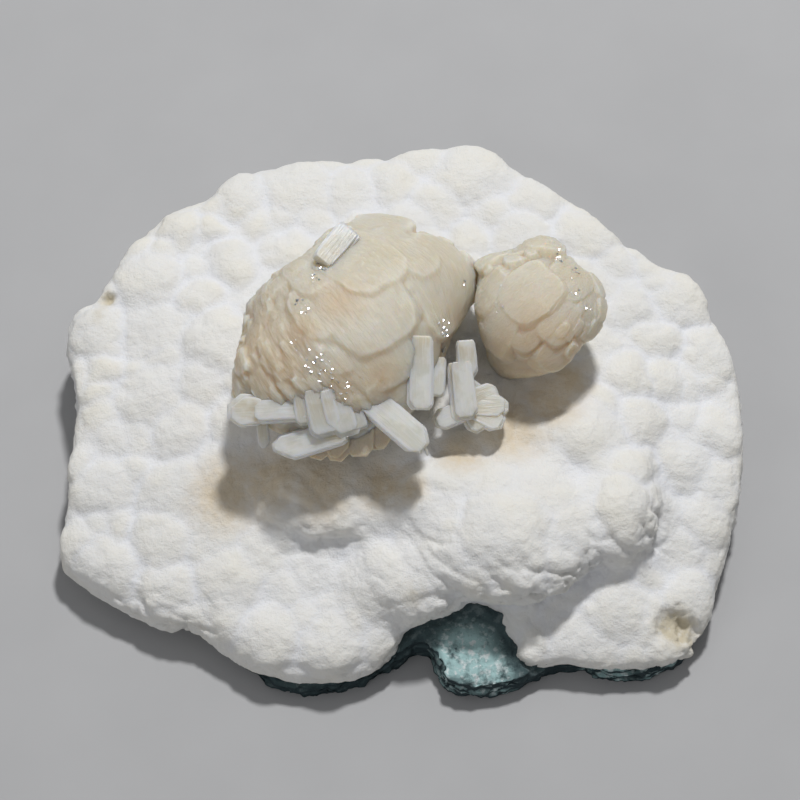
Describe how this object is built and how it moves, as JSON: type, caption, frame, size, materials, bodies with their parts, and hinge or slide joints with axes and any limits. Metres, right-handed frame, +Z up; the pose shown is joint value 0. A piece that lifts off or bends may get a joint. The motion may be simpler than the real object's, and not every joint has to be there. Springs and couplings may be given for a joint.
{
  "type": "stilbite with chalcedony mineral specimen",
  "caption": "Mineral specimen: domed sheaves of bladed stilbite crystals on a rounded, lumpy chalcedony crust that covers a thin broken rock; it rests on the rock's flat cut base.",
  "frame": {"origin": "centre of the specimen's bounding box in plan, at the level that its rock rests on", "axes": "+Z up, +X along the plate's long side, -Y towards the front, where the raised lip overhangs the bare rock"},
  "size_m": [0.1396, 0.1206, 0.0513],
  "materials": {
    "chalcedony": "white chalcedony with a dry, velvety surface",
    "celadonite": "rough broken basalt, stained blue-green",
    "stilbite": "cream, waxy to pearly, slightly translucent crystal"
  },
  "bodies": {
    "root": {"chalcedony_plate": "chalcedony", "celadonite_rock": "celadonite", "large_stilbite_sheaf": "stilbite", "small_stilbite_sheaf": "stilbite", "stilbite_blade_spray": "stilbite"}
  },
  "joints": []
}
